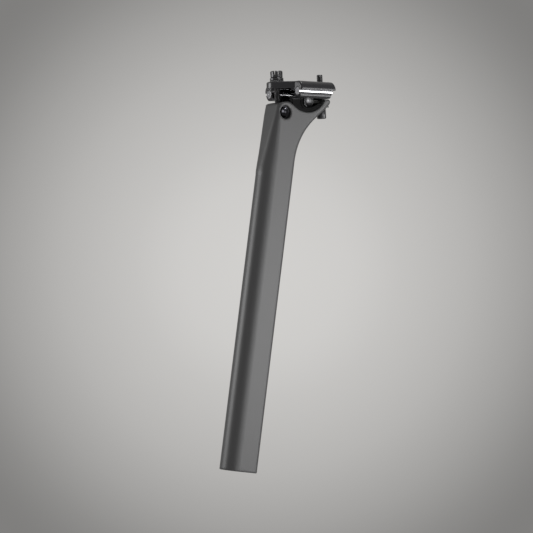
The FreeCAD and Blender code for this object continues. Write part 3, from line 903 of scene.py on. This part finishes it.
def floor_material(studio):
    """Pale paper that fades out towards the round floor's rim."""
    made = bpy.data.materials.new("pale_floor")
    made.use_nodes = True
    tree = made.node_tree
    link = tree.links.new
    shader = tree.nodes["Principled BSDF"]
    shader.inputs["Roughness"].default_value = 0.8
    place = add_node(tree, "ShaderNodeTexCoord")
    reach = add_node(tree, "ShaderNodeVectorMath", operation="LENGTH")
    inner, outer = (studio.floor_radius * at for at in FLOOR_FADE)
    fade = add_node(
        tree,
        "ShaderNodeMapRange",
        {"From Min": inner, "From Max": outer, "To Min": 1.0, "To Max": 0.0},
        interpolation_type="SMOOTHSTEP",
    )
    paper = add_node(tree, "ShaderNodeTexNoise", {"Scale": 400.0, "Detail": 3.0})
    tone = add_node(tree, "ShaderNodeMix", data_type="RGBA")
    pale = studio.backdrop_colour
    set_colour(tone, "A", [channel * (1.0 - PAPER_CHANGE) for channel in pale])
    set_colour(tone, "B", [channel * (1.0 + PAPER_CHANGE) for channel in pale])
    link(place.outputs["Object"], reach.inputs[0])
    link(reach.outputs["Value"], fade.inputs["Value"])
    link(place.outputs["Object"], paper.inputs["Vector"])
    link(paper.outputs["Fac"], colour_socket(tone, "Factor"))
    link(colour_socket(tone, "Result"), shader.inputs["Base Color"])
    link(fade.outputs[0], shader.inputs["Alpha"])
    return made


def lay_floor(studio):
    """A round pale floor below the post."""
    mesh = bmesh.new()
    bmesh.ops.create_circle(
        mesh, cap_ends=True, segments=FLOOR_SEGMENTS, radius=studio.floor_radius
    )
    data = bpy.data.meshes.new("studio_floor")
    mesh.to_mesh(data)
    mesh.free()
    data.materials.append(floor_material(studio))
    floor = bpy.data.objects.new("studio_floor", data)
    floor.location = (0.0, 0.0, -studio.floor_drop)
    bpy.context.scene.collection.objects.link(floor)


def soft_lamp(name, direction, distance, width, height, radiance):
    """A flat soft lamp that shines on the post, as bright as asked on every part of its face."""
    data = bpy.data.lights.new(name, "AREA")
    data.shape = "RECTANGLE"
    data.size = width
    data.size_y = height
    data.energy = radiance * math.pi * width * height
    lamp = bpy.data.objects.new(name, data)
    away = Vector(direction).normalized()
    place = LAMP_AIM + away * distance
    lamp.matrix_world = looking(place, LAMP_AIM, Vector((0.0, 0.0, 1.0)))
    bpy.context.scene.collection.objects.link(lamp)


def place_lamps(studio):
    """One lamp for the flat side, one beside the camera, one for the nose, one low, one overhead."""
    for name, direction, distance, width, height in LAMPS:
        soft_lamp(name, direction, distance, width, height, getattr(studio, name))


def looking(place, target, up):
    """A transform at one point that looks at another."""
    back = (place - target).normalized()
    right = up.cross(back).normalized()
    made = Matrix((right, back.cross(right), back)).transposed().to_4x4()
    made.translation = place
    return made


def place_camera():
    """The camera at the photograph's angle."""
    data = bpy.data.cameras.new("photo_camera")
    data.sensor_width = SENSOR_WIDTH
    data.sensor_fit = "HORIZONTAL"
    data.lens = CAMERA_LENS
    data.clip_start, data.clip_end = CAMERA_CLIP
    camera = bpy.data.objects.new("photo_camera", data)
    camera.matrix_world = looking(CAMERA_PLACE, CAMERA_TARGET, CAMERA_UP)
    bpy.context.scene.collection.objects.link(camera)
    bpy.context.scene.camera = camera


# ---------------------------------------------------------------- add-on


class SEATPOST_PT_sidebar(bpy.types.Panel):
    """Lists the seatpost's sizes, colours and steps"""

    bl_idname = "SEATPOST_PT_sidebar"
    bl_label = "Carbon seatpost"
    bl_space_type = "VIEW_3D"
    bl_region_type = "UI"
    bl_category = "Seatpost"

    def draw(self, context):
        scene = context.scene
        for title, values in (
            ("Finishes", scene.seatpost_finishes),
            ("Threads", scene.seatpost_threads),
            ("Studio", scene.seatpost_studio),
        ):
            box = self.layout.box()
            box.label(text=title)
            for name in type(values).__annotations__:
                box.prop(values, name)
        for step in STEPS:
            self.layout.operator(step.bl_idname)


STEPS = (
    SEATPOST_OT_finish_post,
    SEATPOST_OT_finish_clamp,
    SEATPOST_OT_finish_rods,
    SEATPOST_OT_finish_barrels,
    SEATPOST_OT_finish_fasteners,
    SEATPOST_OT_cut_front_stud,
    SEATPOST_OT_cut_rear_screw,
    SEATPOST_OT_set_studio,
)
GROUPS = {
    "seatpost_finishes": SeatpostFinishes,
    "seatpost_threads": SeatpostThreads,
    "seatpost_studio": SeatpostStudio,
}


def register():
    """Makes the settings, the steps and the sidebar known."""
    for name, group in GROUPS.items():
        bpy.utils.register_class(group)
        setattr(bpy.types.Scene, name, bpy.props.PointerProperty(type=group))
    for step in STEPS:
        bpy.utils.register_class(step)
    bpy.utils.register_class(SEATPOST_PT_sidebar)


def unregister():
    """Takes away what register made known."""
    bpy.utils.unregister_class(SEATPOST_PT_sidebar)
    for step in reversed(STEPS):
        bpy.utils.unregister_class(step)
    for name, group in GROUPS.items():
        delattr(bpy.types.Scene, name)
        bpy.utils.unregister_class(group)


def main():
    """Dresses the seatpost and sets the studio."""
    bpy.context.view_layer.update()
    register()
    bpy.ops.seatpost.finish_post()
    bpy.ops.seatpost.finish_clamp()
    bpy.ops.seatpost.finish_rods()
    bpy.ops.seatpost.finish_barrels()
    bpy.ops.seatpost.finish_fasteners()
    bpy.ops.seatpost.cut_front_stud()
    bpy.ops.seatpost.cut_rear_screw()
    bpy.ops.seatpost.set_studio()


if __name__ == "__main__":
    main()
